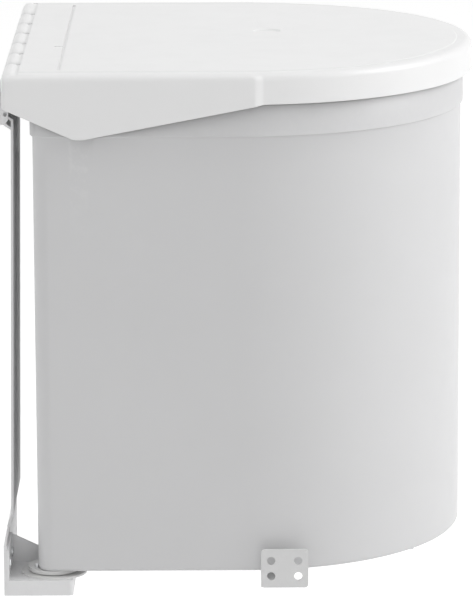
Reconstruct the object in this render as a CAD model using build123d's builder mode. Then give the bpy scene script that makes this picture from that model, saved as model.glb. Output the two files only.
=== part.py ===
from build123d import *
from math import cos, radians, sin
import os

# Swing-out bin for a kitchen base unit, in millimetres.
# X runs away from the cabinet's side wall, -Y faces the cabinet door, +Z is up.
# The origin is the centre of the four wall screws, on the wall.

# Where the bin stands in that frame; heights below are above the underside of its floor
mid_y = 50.0              # middle of the bin's width, behind the wall screws' centre

# Outer bin
bin_length = 255.0        # from its flat end to the tip of its round end
bin_width = 260.0
wall_gap = 20.0           # cabinet wall to the bin's flat end
bin_wall = 2.2
bin_floor = 2.6
corner_r = 9.0
foot_r = 2.5
collar_height = 19.2
collar_proud = 1.5
rim_drop = 0.8            # the rim lies this far below the lid's skirt

# Inner bucket
bucket_gap = 3.0
bucket_wall = 1.8
bucket_floor = 2.0
bucket_draft = 4.0
bucket_drop = 22.7        # bucket's rim below the bin's rim
bucket_corner_r = 14.0
lip_out = 1.4
lip_height = 3.0

# Lid
lid_top_z = 300.6
lid_height = 18.6
lid_wall = 2.4
lid_overhang = 6.6
panel_proud = 2.0         # the flat side panels stand out from the skirt
panel_past = 10.0         # and run on past the start of the round end
panel_end_r = 1.8
point_drop = 20.0         # lowest stretch of the side panel, below the skirt
point_left_drop = 1.5     # the side panel's wall end, below the skirt
lid_left_x = 3.0
lid_edge_r = 4.0
border_width = 9.0
border_step = 0.4
point_x = 44.5
point_flat = 5.5
seam_x = 36.0
seam_width = 1.6
seam_length = 216.0
seam_shift = 6.0          # the line's middle, behind the bin's middle
seam_notch = 6.0
seam_notch_y = 22.0
seam_depth = 0.6
mark_x = 157.6
mark_y = 27.0
mark_r = 10.0
mark_depth = 0.6
mark_taper = 60.0
rib_t = 1.6
rib_lines = [-62.0, 0.0, 62.0]
rib_start_x = 62.0
rib_past = 90.0           # ribs run on past the start of the round end

# Lid hinge
hinge_inset = 4.5         # rod's axis from the lid's wall edge
hinge_drop = 4.4          # rod's axis below the lid's top
hinge_stand = 7.1         # rod's axis above the strip
knuckle_r = 4.8
knuckle_pitch = 37.6
knuckle_count = 7
knuckle_gap = 3.8
lug_play = 0.5
lug_r = 3.4
rod_r = 1.6
rod_play = 0.05
rod_inset = 1.0           # rod's end from the end of the hinge strip
lid_lift = 20.0           # degrees that the lid opens

# Swivel at the front corner of the bin
pivot_in = 9.0            # swivel axis from the bin's flat end
pivot_back = 17.0         # swivel axis from the bin's front
swing = 90.0              # degrees that the bin swings out
deck_t = 3.0
deck_leg = 56.0
boss_r = 8.5
boss_depth = 15.0
bush_length = 29.4
bush_wall = 2.4
bush_flange_r = 8.5
bush_flange_t = 1.5
bush_stand = 17.5         # top of the upper boss above the deck
lower_boss_z = 12.0
lower_bush_r = 5.6
lower_flange_r = 6.5
pin_play = 0.05
upper_pin_r = 3.5
upper_pin_length = 30.0
lower_pin_r = 4.0
pin_head_r = 6.5
pin_head_t = 2.6
disc_r = 15.5
disc_t = 2.8
disc_hole_circle = 11.5
disc_edge_r = 1.0
clip_r = 6.2
clip_groove_r = 3.2
clip_t = 1.0
clip_mouth = 4.0
clip_gap = 0.3
pin_tip = 2.6             # pin's length above the underside of its clip

# Lift cam and follower
follower_r = 14.0         # follower's distance from the swivel axis
follower_length = 20.2    # tip below the lid's underside
follower_post_r = 3.5
cam_in = 10.0
cam_out = 19.5
cam_margin = 14.0         # degrees of level track at each end
cam_clearance = 1.1
cam_screw_bite = 6.0
cam_screw_turns = (20.0, 70.0)
follower_pad = (12.0, 24.0, 2.0)
follower_flange = 2.0
follower_screw_span = 16.0
screw_bite = 2.6

# Wall frame and brackets, folded from sheet steel
sheet = 1.5
frame_width = 84.0
screw_span = 56.0
screw_r = 2.6
low_screw_drop = 21.0     # lower screws below the top of the foot
high_screw_drop = 19.6    # upper screws below the top of the head
stand_low = 2.5
stand_high = 6.0
foot_top_z = 18.0
head_over = 2.0           # head above the hinge bracket
head_height = 26.6
head_width = 258.0
crosshead_height = 20.0
bracket_height = 16.6
bracket_depth = 12.0
ear_drop = 11.0
ear_reach = 5.0
ear_chamfer = 2.5
ear_hole_r = 1.2
strip_t = 2.5
arm_t = 2.4
arm_width = 15.0
arm_tab_width = 30.0
arm_rivet_span = 22.0
arm_play = 0.6
arm_rise = 5.6            # arm above the bracket's lower edge
tray_proud = 3.5          # tray's front beyond the bin's front
tray_drop = 9.2
tray_length = 39.5
tray_depth = 42.5
web_high = 14.0
web_low = 5.7
web_reach = 16.0
tray_corner_r = 2.5
tray_rivet_in = (9.0, 33.0)  # from the tray's front
joggle = 8.0              # height over which the upright steps off the wall
head_joggle = 4.0         # the same at its head
edge_strip = 8.0          # strip each side of the screws that stays off the wall
bend_shift = 0.6
head_bend_shift = 0.8
screw_notch_r = 5.5       # clears the screw heads in the bracket's lower edge
bead_width = 10.0
bead_proud = 0.8
washer_t = 1.2
washer_play = 0.3
washer_r = 19.6

# Fasteners
frame_rivet_y = [-85.0, -15.0, 50.0, 110.0]
frame_rivet_rise = 6.0    # above the bracket's lower edge
strip_rivet_x = 8.8
rivet_r = 1.6
rivet_head_r = 3.0
rivet_head_t = 1.0
screw_thread_r = 1.5
screw_head_r = 2.8
screw_head_t = 1.5
skin = 0.6                # floor left above a blind screw hole

# Door plate, slider and guide rail
door_gap = 8.0            # from the bin's front to the door's inner face
plate_x = 166.4
plate_z = 3.85
plate_width = 28.0
plate_height = 23.3
plate_corner_r = 2.0
door_hole_r = 2.5
door_hole_span = 16.0
door_hole_rise = 9.4
tongue_width = 14.0
slider_y = -56.0
slider_length = 16.0
slide_travel = 76.0
slide_over = 2.0          # rail beyond the slider's ends
rail_wall = 1.0
rail_half = 9.0
rail_drop = 5.4
rail_slot_half = 4.0
slide_play = 0.4
rail_tab = 9.0
rail_tab_r = 2.0
slider_rivet_r = 2.2
slider_rivet_head_r = 4.0

# Worked out from the sizes above
end_r = bin_width / 2
end_x = wall_gap + bin_length - end_r
skirt_z = lid_top_z - lid_height
rim_z = skirt_z - rim_drop
collar_z = rim_z - collar_height
bucket_top_z = rim_z - bucket_drop
point_z = skirt_z - point_drop
point_left_z = skirt_z - point_left_drop
panel_end_x = end_x + panel_past
rib_end_x = end_x + rib_past
lid_half = end_r + lid_overhang
panel_half = lid_half + panel_proud
lid_under_z = lid_top_z - lid_wall
follower_tip_z = lid_under_z - follower_length
hinge_x = lid_left_x + hinge_inset
hinge_z = lid_top_z - hinge_drop
strip_top_z = hinge_z - hinge_stand
bracket_top_z = strip_top_z - strip_t
bracket_z = bracket_top_z - bracket_height
head_top_z = bracket_top_z + head_over
crosshead_z = head_top_z - crosshead_height
head_z = head_top_z - head_height
strip_head_z = bracket_z - head_bend_shift
screw_low_z = foot_top_z - low_screw_drop
screw_high_z = head_top_z - high_screw_drop
floor_z = -(screw_low_z + screw_high_z) / 2
arm_z = bracket_z + arm_rise
boss_top_z = arm_z - arm_play - bush_flange_t
deck_z = boss_top_z - bush_stand
pivot_x = wall_gap + pivot_in
pivot_y = -end_r + pivot_back
tray_top_z = -disc_t - washer_play - washer_t
tray_front = end_r + tray_proud
rod_length = head_width - 2 * rod_inset
gap_centres = [knuckle_pitch * (i - (knuckle_count - 2) / 2) for i in range(knuckle_count - 1)]
lid_rate = lid_lift / swing
door_face = end_r + door_gap
slider_x = plate_x - plate_width / 2 + tongue_width / 2
rail_start = slider_x - slider_length / 2 - slide_over
rail_end = slider_x + slide_travel + slider_length / 2 + slide_over
bucket_leg = deck_leg + bucket_gap + 1.0
knuckle_end_x = hinge_x + knuckle_r + 0.5
frame_mid_y = -mid_y
frame_y = frame_mid_y - frame_width / 2
frame_end_y = frame_y + frame_width
upright_runs = [
    (edge_strip, frame_y, strip_head_z),
    (frame_width - 2 * edge_strip, frame_y + edge_strip, head_z),
    (edge_strip, frame_end_y - edge_strip, strip_head_z),
]
wall_screws = [(frame_mid_y + sy * screw_span / 2, z) for z in (screw_low_z, screw_high_z) for sy in (-1, 1)]
frame_rivet_z = bracket_z + frame_rivet_rise
tray_rivets = [(-tray_front + inset, foot_top_z / 4) for inset in tray_rivet_in]
high_screws = wall_screws[2:]
arm_rivet_y = [pivot_y - arm_rivet_span / 2, pivot_y + arm_rivet_span / 2]
strip_rivets = [(strip_rivet_x, knuckle_pitch * step) for step in (-3, -1, 1, 3)]
clip_z = lower_boss_z + bush_flange_t + clip_gap
lower_pin_top = clip_z + pin_tip
cam_angles = [-cam_margin] + [swing * i / 6 for i in range(7)] + [swing + cam_margin]
tongue_top_z = plate_z - plate_height / 2 + sheet
rail_screw_spots = [(rail_start - rail_tab / 2, slider_y), (rail_end + rail_tab / 2, slider_y)]
cam_screw_spots = [(pivot_x + (cam_in + cam_out) / 2 * cos(radians(a)),
                    pivot_y + (cam_in + cam_out) / 2 * sin(radians(a))) for a in cam_screw_turns]
follower_screws = [(pivot_x + follower_r, pivot_y + s * follower_screw_span / 2) for s in (-1, 1)]

# Planes through the middle of the bin's floor, on the cabinet wall
floor = Plane(origin=(0, mid_y, floor_z))
front = Plane(origin=(0, mid_y, floor_z), x_dir=(1, 0, 0), z_dir=(0, -1, 0))
side = Plane(origin=(0, mid_y, floor_z), x_dir=(0, 1, 0), z_dir=(1, 0, 0))

os.makedirs("parts", exist_ok=True)


def finish_piece(piece, name):
    """Label a finished piece and write its STEP file."""
    piece.part.label = name
    export_step(piece.part, f"parts/{name}.step")


def round_end(radius):
    """Draw the half-disc at the end away from the wall."""
    with Locations((end_x, 0)):
        Circle(radius)
        Rectangle(radius, 2 * radius, align=(Align.MIN, Align.CENTER), mode=Mode.INTERSECT)


def d_plan(grow, corner, left=wall_gap):
    """Draw the bin's D: flat end at the wall, half-round end away from it."""
    round_end(end_r + grow)
    with Locations((left - grow, 0)):
        Rectangle(end_x - left + grow, 2 * (end_r + grow), align=(Align.MIN, Align.CENTER))
    if corner > 0:
        fillet(vertices().group_by(Axis.X)[0], corner)


def bucket_plan(grow):
    """Draw the bucket's D, with its front corner cut off to clear the swivel."""
    left = wall_gap + bin_wall + bucket_gap - grow
    half = end_r - bin_wall - bucket_gap + grow
    cut_x = wall_gap + bucket_leg - (end_r - half)
    cut_y = -end_r + bucket_leg - (left - wall_gap)
    round_end(half)
    Polygon((end_x, -half), (cut_x, -half), (left, cut_y), (left, half), (end_x, half), align=None)
    corners = vertices().filter_by(lambda v: v.X < end_x - 1)
    fillet(corners, bucket_corner_r)


def skirt_line(drop):
    """Points of the side panel's pointed lower edge, lowered by drop."""
    return [
        (lid_left_x, point_left_z - drop),
        (point_x, point_z - drop),
        (point_x + point_flat, point_z - drop),
        (panel_end_x, skirt_z - drop),
    ]


def slope_at(x, start, end):
    """Height at x of the straight line from start to end."""
    return start[1] + (end[1] - start[1]) * (x - start[0]) / (end[0] - start[0])


# Outer bin: one moulded shell with a collar, whose rim follows the lid's skirt
with BuildPart() as bin_housing:
    with BuildSketch(floor):
        d_plan(0, corner_r)
    extrude(amount=rim_z)
    fillet(bin_housing.edges().group_by(Axis.Z)[0], foot_r)
    with BuildSketch(floor.offset(collar_z)):
        d_plan(collar_proud, corner_r + collar_proud)
    extrude(amount=rim_z - collar_z)
    with BuildSketch(floor.offset(bin_floor)):
        d_plan(-bin_wall, corner_r - bin_wall)
    extrude(amount=rim_z, mode=Mode.SUBTRACT)
    # deck and boss of the upper swivel, in the front corner
    with BuildSketch(floor.offset(deck_z - deck_t)):
        d_plan(-bin_wall / 2, corner_r - bin_wall / 2)
        Polygon((0, -end_r), (wall_gap + deck_leg, -end_r), (0, -end_r + wall_gap + deck_leg),
                align=None, mode=Mode.INTERSECT)
    extrude(amount=deck_t)
    with BuildSketch(floor.offset(deck_z - boss_depth)):
        with Locations((pivot_x, pivot_y)):
            Circle(boss_r)
        with Locations((pivot_x, -end_r + bin_wall / 2)):
            Rectangle(bin_wall, -pivot_y - end_r + bin_wall, align=(Align.CENTER, Align.MIN))
    extrude(amount=boss_depth - deck_t)
    # rim: cut down along the pointed skirt on both sides
    with BuildSketch(front):
        line = skirt_line(rim_drop)
        top = lid_top_z
        Polygon((0, top), (0, slope_at(0, line[0], line[1])), *line[1:],
                (end_x + 2 * end_r, rim_z), (end_x + 2 * end_r, top), align=None)
    extrude(amount=2 * end_r, both=True, mode=Mode.SUBTRACT)
    # boss above the deck
    with BuildSketch(floor.offset(deck_z)):
        with Locations((pivot_x, pivot_y)):
            Circle(boss_r)
    extrude(amount=bush_stand)
    # boss of the lower swivel
    with BuildSketch(floor.offset(bin_floor)):
        with Locations((pivot_x, pivot_y)):
            Circle(boss_r)
    extrude(amount=lower_boss_z - bin_floor)
    with BuildSketch(floor):
        with Locations((pivot_x, pivot_y)):
            Circle(lower_bush_r)
    extrude(amount=lower_boss_z, mode=Mode.SUBTRACT)
    with BuildSketch(floor.offset(boss_top_z)):
        with Locations((pivot_x, pivot_y)):
            Circle(upper_pin_r + pin_play + bush_wall)
    extrude(amount=-bush_length, mode=Mode.SUBTRACT)
    # screw holes for the cam, the swivel disc and the rail
    with BuildSketch(floor.offset(deck_z)):
        with Locations(*cam_screw_spots):
            Circle(screw_thread_r)
    extrude(amount=-deck_t, mode=Mode.SUBTRACT)
    with BuildSketch(floor):
        with Locations((pivot_x, pivot_y)):
            with PolarLocations(disc_hole_circle, 3, start_angle=90):
                Circle(screw_thread_r)
        with Locations(*rail_screw_spots):
            Circle(screw_thread_r)
    extrude(amount=bin_floor - skin, mode=Mode.SUBTRACT)
finish_piece(bin_housing, "bin_housing")

# Inner bucket: a tapered liner that lifts out, with a thick lip
with BuildPart() as inner_bucket:
    with BuildSketch(floor.offset(bin_floor)):
        bucket_plan(-bucket_draft)
    with BuildSketch(floor.offset(bucket_top_z)):
        bucket_plan(0)
    loft(ruled=True)
    with BuildSketch(floor.offset(bucket_top_z - lip_height)):
        bucket_plan(lip_out)
    extrude(amount=lip_height)
    with BuildSketch(floor.offset(bin_floor + bucket_floor)):
        bucket_plan(-bucket_draft - bucket_wall)
    with BuildSketch(floor.offset(bucket_top_z)):
        bucket_plan(-bucket_wall)
    loft(ruled=True, mode=Mode.SUBTRACT)
finish_piece(inner_bucket, "inner_bucket")

# Lid: a shallow moulded cover with two pointed side panels and hinge knuckles
with BuildPart() as lid_shell:
    with BuildSketch(floor.offset(point_z)):
        d_plan(lid_overhang, 0, left=lid_left_x + lid_overhang)
        with Locations((lid_left_x, 0)):
            Rectangle(panel_end_x - lid_left_x, 2 * panel_half, align=(Align.MIN, Align.CENTER))
        ends = vertices().filter_by(lambda v: abs(v.X - panel_end_x) < 0.1)
        fillet(ends.filter_by(lambda v: abs(v.Y) > panel_half - 0.1), panel_end_r)
    extrude(amount=lid_top_z - border_step - point_z)
    top_edges = lid_shell.edges().group_by(Axis.Z)[-1]
    fillet(top_edges.filter_by(lambda e: e.center().X > lid_left_x + 1), lid_edge_r)
    with BuildSketch(floor.offset(lid_top_z - border_step)):
        d_plan(lid_overhang - border_width, 0, left=hinge_x + lid_overhang - border_width)
    extrude(amount=border_step)
    with BuildSketch(floor.offset(point_z)):
        d_plan(lid_overhang - lid_wall, 0, left=0)
        Rectangle(panel_end_x - lid_wall, 2 * (panel_half - lid_wall), align=(Align.MIN, Align.CENTER))
    extrude(amount=lid_under_z - point_z, mode=Mode.SUBTRACT)
    with BuildSketch(front):
        edge = skirt_line(0)
        Polygon((0, 0), (0, slope_at(0, edge[0], edge[1])), *edge[1:],
                (end_x + 2 * end_r, skirt_z), (end_x + 2 * end_r, 0), align=None)
    extrude(amount=2 * end_r, both=True, mode=Mode.SUBTRACT)
    # open the hinge strip's place between the side panels
    with BuildSketch(floor.offset(point_z)):
        Rectangle(knuckle_end_x, 2 * (panel_half - lid_wall), align=(Align.MIN, Align.CENTER))
    extrude(amount=lid_top_z, mode=Mode.SUBTRACT)
    # knuckles, joined flush to the lid's top and parted by the strip's lugs
    with BuildSketch(front.offset(-panel_half + lid_wall)):
        with Locations((hinge_x, hinge_z)):
            Circle(knuckle_r)
        with Locations((hinge_x, lid_under_z)):
            Rectangle(knuckle_end_x - hinge_x + 1, lid_wall, align=(Align.MIN, Align.MIN))
    extrude(amount=2 * (panel_half - lid_wall))
    with BuildSketch(floor.offset(point_z)):
        with Locations(*[(0, y) for y in gap_centres]):
            Rectangle(knuckle_end_x + 0.3, knuckle_gap, align=(Align.MIN, Align.CENTER))
    extrude(amount=lid_top_z, mode=Mode.SUBTRACT)
    with BuildSketch(front.offset(-rod_length / 2 - 1)):
        with Locations((hinge_x, hinge_z)):
            Circle(rod_r + rod_play)
    extrude(amount=rod_length + 2, mode=Mode.SUBTRACT)
    # stiffening ribs and the follower's pad underneath
    with BuildSketch(floor.offset(lid_under_z)):
        with Locations(*[(rib_start_x, y) for y in rib_lines]):
            Rectangle(rib_end_x - rib_start_x, rib_t, align=(Align.MIN, Align.CENTER))
        with Locations((pivot_x + follower_r, pivot_y)):
            Rectangle(follower_pad[0], follower_pad[1])
    extrude(amount=-follower_pad[2])
    with BuildSketch(floor.offset(lid_under_z - follower_pad[2])):
        with Locations(*follower_screws):
            Circle(screw_thread_r)
    extrude(amount=screw_bite, mode=Mode.SUBTRACT)
    # closing line of the hinge side, its stop mark and the round sink mark
    with BuildSketch(floor.offset(lid_top_z)):
        with Locations((seam_x, seam_shift)):
            Rectangle(seam_width, seam_length)
        with Locations((seam_x - seam_notch / 2, -seam_notch_y)):
            Rectangle(seam_notch, seam_width)
    extrude(amount=-seam_depth, mode=Mode.SUBTRACT)
    with BuildSketch(floor.offset(lid_top_z)):
        with Locations((mark_x, mark_y)):
            Circle(mark_r)
    extrude(amount=-mark_depth, taper=mark_taper, mode=Mode.SUBTRACT)
finish_piece(lid_shell, "lid_shell")

# Follower: a domed post screwed under the lid, which the cam lifts
with BuildPart() as cam_follower:
    with BuildSketch(floor.offset(lid_under_z - follower_pad[2])):
        with Locations((pivot_x + follower_r, pivot_y)):
            RectangleRounded(follower_pad[0], follower_pad[1], 3.0)
    extrude(amount=-follower_flange)
    with BuildSketch(floor.offset(follower_tip_z + follower_post_r)):
        with Locations((pivot_x + follower_r, pivot_y)):
            Circle(follower_post_r)
    extrude(amount=lid_under_z - follower_pad[2] - follower_tip_z - follower_post_r)
    with Locations((pivot_x + follower_r, pivot_y + mid_y, floor_z + follower_tip_z + follower_post_r)):
        Sphere(follower_post_r)
    with BuildSketch(floor.offset(lid_under_z)):
        with Locations(*follower_screws):
            Circle(screw_thread_r)
    extrude(amount=-2 * follower_pad[2] - follower_flange, mode=Mode.SUBTRACT)
finish_piece(cam_follower, "cam_follower")

with BuildPart() as follower_screws_set:
    with BuildSketch(floor.offset(lid_under_z - follower_pad[2] - follower_flange)):
        with Locations(*follower_screws):
            Circle(screw_head_r)
    extrude(amount=-screw_head_t)
    with BuildSketch(floor.offset(lid_under_z - follower_pad[2] - follower_flange)):
        with Locations(*follower_screws):
            Circle(screw_thread_r)
    extrude(amount=follower_flange + screw_bite)
finish_piece(follower_screws_set, "follower_screws")

# Wall frame: a T stamped from sheet, whose upright stands off the wall
with BuildPart() as wall_frame:
    # its middle steps back to the wall at the screws, its edge strips higher up
    for width, edge_y, top in upright_runs:
        with BuildSketch(front.offset(-edge_y - width)):
            with BuildLine():
                Polyline(
                    (0, tray_top_z - tray_drop), (0, foot_top_z), (stand_low, foot_top_z + joggle),
                    (stand_high, top - head_joggle), (0, top), (0, head_top_z), (sheet, head_top_z),
                    (sheet, top + head_bend_shift),
                    (stand_high + sheet, top - head_joggle + head_bend_shift),
                    (stand_low + sheet, foot_top_z + joggle - bend_shift),
                    (sheet, foot_top_z - bend_shift), (sheet, tray_top_z - tray_drop), close=True)
            make_face()
        extrude(amount=width)
    with BuildSketch(side):
        with Locations((-tray_front, tray_top_z - tray_drop)):
            Rectangle(tray_front + frame_mid_y, foot_top_z - bend_shift - tray_top_z + tray_drop,
                      align=(Align.MIN, Align.MIN))
        with Locations((0, crosshead_z)):
            Rectangle(head_width, head_top_z - crosshead_z, align=(Align.CENTER, Align.MIN))
    extrude(amount=sheet)
    # a pressed bead stiffens the upright
    with BuildSketch(front.offset(-frame_mid_y)):
        with BuildLine():
            Polyline((stand_low + sheet / 2, foot_top_z + 2 * joggle),
                     (stand_low + sheet + bead_proud, foot_top_z + 3 * joggle),
                     (stand_high + sheet + bead_proud, head_z - 3 * joggle),
                     (stand_high + sheet / 2, head_z - 2 * joggle), close=True)
        make_face()
    extrude(amount=bead_width / 2, both=True)
    with BuildSketch(side):
        with Locations(*wall_screws):
            Circle(screw_r)
        with Locations(*[(y, frame_rivet_z) for y in frame_rivet_y + arm_rivet_y]):
            Circle(rivet_r)
        with Locations(*tray_rivets):
            Circle(rivet_r)
    extrude(amount=4 * sheet, mode=Mode.SUBTRACT)
finish_piece(wall_frame, "wall_frame")

# Hinge bracket: an angle along the top of the frame, with an ear at each end
with BuildPart() as hinge_bracket:
    with BuildSketch(front.offset(-head_width / 2)):
        with BuildLine():
            Polyline((sheet, bracket_z), (sheet, bracket_top_z), (bracket_depth, bracket_top_z),
                     (bracket_depth, bracket_top_z - sheet), (2 * sheet, bracket_top_z - sheet),
                     (2 * sheet, bracket_z), close=True)
        make_face()
    extrude(amount=head_width)
    for end in (-1, 1):
        with BuildSketch(front.offset(end * head_width / 2)):
            with Locations((sheet, bracket_z)):
                Rectangle(ear_reach, ear_drop, align=(Align.MIN, Align.MIN))
            chamfer(vertices().group_by(Axis.Y)[0].sort_by(Axis.X)[-1], ear_chamfer)
            with Locations((ear_reach, bracket_z + ear_drop - 2 * ear_chamfer)):
                Circle(ear_hole_r, mode=Mode.SUBTRACT)
        extrude(amount=end * sheet)
    with BuildSketch(side.offset(sheet)):
        with Locations(*[(y, frame_rivet_z) for y in frame_rivet_y + arm_rivet_y]):
            Circle(rivet_r)
        with Locations(*high_screws):
            Circle(screw_notch_r)
    extrude(amount=sheet, mode=Mode.SUBTRACT)
    with BuildSketch(floor.offset(bracket_top_z)):
        with Locations(*strip_rivets):
            Circle(rivet_r)
    extrude(amount=-sheet, mode=Mode.SUBTRACT)
finish_piece(hinge_bracket, "hinge_bracket")

# Hinge strip: a moulded base riveted on the bracket, with a lug in each gap of the lid
with BuildPart() as hinge_strip:
    with BuildSketch(floor.offset(bracket_top_z)):
        with Locations((sheet, 0)):
            Rectangle(bracket_depth - sheet, head_width, align=(Align.MIN, Align.CENTER))
    extrude(amount=strip_t)
    for y in gap_centres:
        with BuildSketch(front.offset(-y)):
            with Locations((hinge_x, hinge_z)):
                Circle(lug_r)
            with Locations((hinge_x, strip_top_z)):
                Rectangle(1.5 * lug_r, hinge_z - strip_top_z, align=(Align.CENTER, Align.MIN))
        extrude(amount=knuckle_gap / 2 - lug_play, both=True)
    with BuildSketch(front.offset(-rod_length / 2)):
        with Locations((hinge_x, hinge_z)):
            Circle(rod_r)
    extrude(amount=rod_length, mode=Mode.SUBTRACT)
    with BuildSketch(floor.offset(bracket_top_z)):
        with Locations(*strip_rivets):
            Circle(rivet_r)
    extrude(amount=strip_t, mode=Mode.SUBTRACT)
finish_piece(hinge_strip, "hinge_strip")

with BuildPart() as hinge_rod:
    with BuildSketch(front.offset(-rod_length / 2)):
        with Locations((hinge_x, hinge_z)):
            Circle(rod_r)
    extrude(amount=rod_length)
    chamfer(hinge_rod.edges().filter_by(GeomType.CIRCLE), 0.3)
finish_piece(hinge_rod, "hinge_rod")

# Tray: a folded pan under the bin's front corner, which carries the lower swivel
with BuildPart() as tray:
    with BuildSketch(front.offset(tray_front - tray_depth)):
        with Locations((sheet, tray_top_z)):
            Rectangle(tray_length, sheet, align=(Align.MIN, Align.MAX))
        with Locations((sheet, tray_top_z)):
            Rectangle(sheet, tray_drop, align=(Align.MIN, Align.MAX))
        with Locations((sheet + tray_length, tray_top_z)):
            Rectangle(sheet, tray_drop, align=(Align.MAX, Align.MAX))
    extrude(amount=tray_depth)
    with BuildSketch(front.offset(tray_front - sheet)):
        with Locations((sheet, tray_top_z)):
            Rectangle(tray_length, tray_drop, align=(Align.MIN, Align.MAX))
    extrude(amount=sheet)
    with BuildSketch(front.offset(tray_front - tray_depth)):
        Polygon((sheet, tray_top_z - sheet), (sheet, web_high),
                (2 * sheet + web_reach, web_low), (2 * sheet + web_reach, tray_top_z - sheet), align=None)
    extrude(amount=sheet)
    with BuildSketch(side.offset(sheet)):
        with Locations((-tray_front, tray_top_z)):
            Rectangle(tray_depth, web_high - tray_top_z, align=(Align.MIN, Align.MIN))
    extrude(amount=sheet)
    outer = tray.edges().filter_by(Axis.Z).group_by(Axis.X)[-1].sort_by(Axis.Y)[0]
    fillet(outer, tray_corner_r)
    with BuildSketch(side.offset(sheet)):
        with Locations(*tray_rivets):
            Circle(rivet_r)
    extrude(amount=sheet, mode=Mode.SUBTRACT)
    with BuildSketch(floor.offset(tray_top_z)):
        with Locations((pivot_x, pivot_y)):
            Circle(lower_pin_r)
    extrude(amount=-sheet, mode=Mode.SUBTRACT)
finish_piece(tray, "tray")

# Upper arm: a bent strap from the frame's head to the upper swivel pin
with BuildPart() as upper_arm:
    with BuildSketch(floor.offset(arm_z)):
        with Locations((2 * sheet, pivot_y)):
            Rectangle(pivot_x - 2 * sheet, arm_width, align=(Align.MIN, Align.CENTER))
        with Locations((pivot_x, pivot_y)):
            Circle(arm_width / 2)
    extrude(amount=arm_t)
    with BuildSketch(side.offset(2 * sheet)):
        with Locations((pivot_y, bracket_z)):
            Rectangle(arm_tab_width, arm_z + arm_t - bracket_z, align=(Align.CENTER, Align.MIN))
        with Locations(*[(y, frame_rivet_z) for y in arm_rivet_y]):
            Circle(rivet_r, mode=Mode.SUBTRACT)
    extrude(amount=arm_t)
    with BuildSketch(floor.offset(arm_z)):
        with Locations((pivot_x, pivot_y)):
            Circle(upper_pin_r)
    extrude(amount=arm_t, mode=Mode.SUBTRACT)
finish_piece(upper_arm, "upper_arm")

# Swivel pins and their bushes
with BuildPart() as upper_pivot_pin:
    with BuildSketch(floor.offset(arm_z + arm_t)):
        with Locations((pivot_x, pivot_y)):
            Circle(pin_head_r)
    extrude(amount=pin_head_t)
    fillet(upper_pivot_pin.edges().group_by(Axis.Z)[-1], pin_head_t / 2)
    with BuildSketch(floor.offset(arm_z + arm_t)):
        with Locations((pivot_x, pivot_y)):
            Circle(upper_pin_r)
    extrude(amount=-upper_pin_length)
    chamfer(upper_pivot_pin.edges().group_by(Axis.Z)[0], 0.6)
finish_piece(upper_pivot_pin, "upper_pivot_pin")

with BuildPart() as upper_bush:
    with BuildSketch(floor.offset(boss_top_z)):
        with Locations((pivot_x, pivot_y)):
            Circle(upper_pin_r + pin_play + bush_wall)
    extrude(amount=-bush_length)
    with BuildSketch(floor.offset(boss_top_z)):
        with Locations((pivot_x, pivot_y)):
            Circle(bush_flange_r)
    extrude(amount=bush_flange_t)
    with BuildSketch(floor.offset(boss_top_z + bush_flange_t)):
        with Locations((pivot_x, pivot_y)):
            Circle(upper_pin_r + pin_play)
    extrude(amount=-bush_length - bush_flange_t, mode=Mode.SUBTRACT)
finish_piece(upper_bush, "upper_bush")

with BuildPart() as lower_pivot_pin:
    with BuildSketch(floor.offset(tray_top_z - sheet)):
        with Locations((pivot_x, pivot_y)):
            Circle(pin_head_r)
    extrude(amount=-pin_head_t)
    fillet(lower_pivot_pin.edges().group_by(Axis.Z)[0], pin_head_t / 2)
    with BuildSketch(floor.offset(tray_top_z - sheet)):
        with Locations((pivot_x, pivot_y)):
            Circle(lower_pin_r)
    extrude(amount=lower_pin_top - tray_top_z + sheet)
    chamfer(lower_pivot_pin.edges().group_by(Axis.Z)[-1], 0.6)
    with BuildSketch(floor.offset(clip_z)):
        with Locations((pivot_x, pivot_y)):
            Circle(lower_pin_r + 1)
            Circle(clip_groove_r, mode=Mode.SUBTRACT)
    extrude(amount=clip_t, mode=Mode.SUBTRACT)
finish_piece(lower_pivot_pin, "lower_pivot_pin")

with BuildPart() as lower_bush:
    with BuildSketch(floor):
        with Locations((pivot_x, pivot_y)):
            Circle(lower_bush_r)
    extrude(amount=lower_boss_z)
    with BuildSketch(floor.offset(lower_boss_z)):
        with Locations((pivot_x, pivot_y)):
            Circle(lower_flange_r)
    extrude(amount=bush_flange_t)
    with BuildSketch(floor):
        with Locations((pivot_x, pivot_y)):
            Circle(lower_pin_r + pin_play)
    extrude(amount=2 * lower_boss_z, mode=Mode.SUBTRACT)
finish_piece(lower_bush, "lower_bush")

with BuildPart() as retaining_clip:
    with BuildSketch(floor.offset(clip_z)):
        with Locations((pivot_x, pivot_y)):
            Circle(clip_r)
            Circle(clip_groove_r, mode=Mode.SUBTRACT)
        with Locations((pivot_x, pivot_y)):
            Rectangle(clip_r + 1, clip_mouth, align=(Align.MIN, Align.CENTER), mode=Mode.SUBTRACT)
    extrude(amount=clip_t)
finish_piece(retaining_clip, "retaining_clip")

with BuildPart() as glide_washer:
    with BuildSketch(floor.offset(tray_top_z)):
        with Locations((pivot_x, pivot_y)):
            Circle(washer_r)
            Circle(lower_pin_r, mode=Mode.SUBTRACT)
    extrude(amount=washer_t)
finish_piece(glide_washer, "glide_washer")

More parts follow.
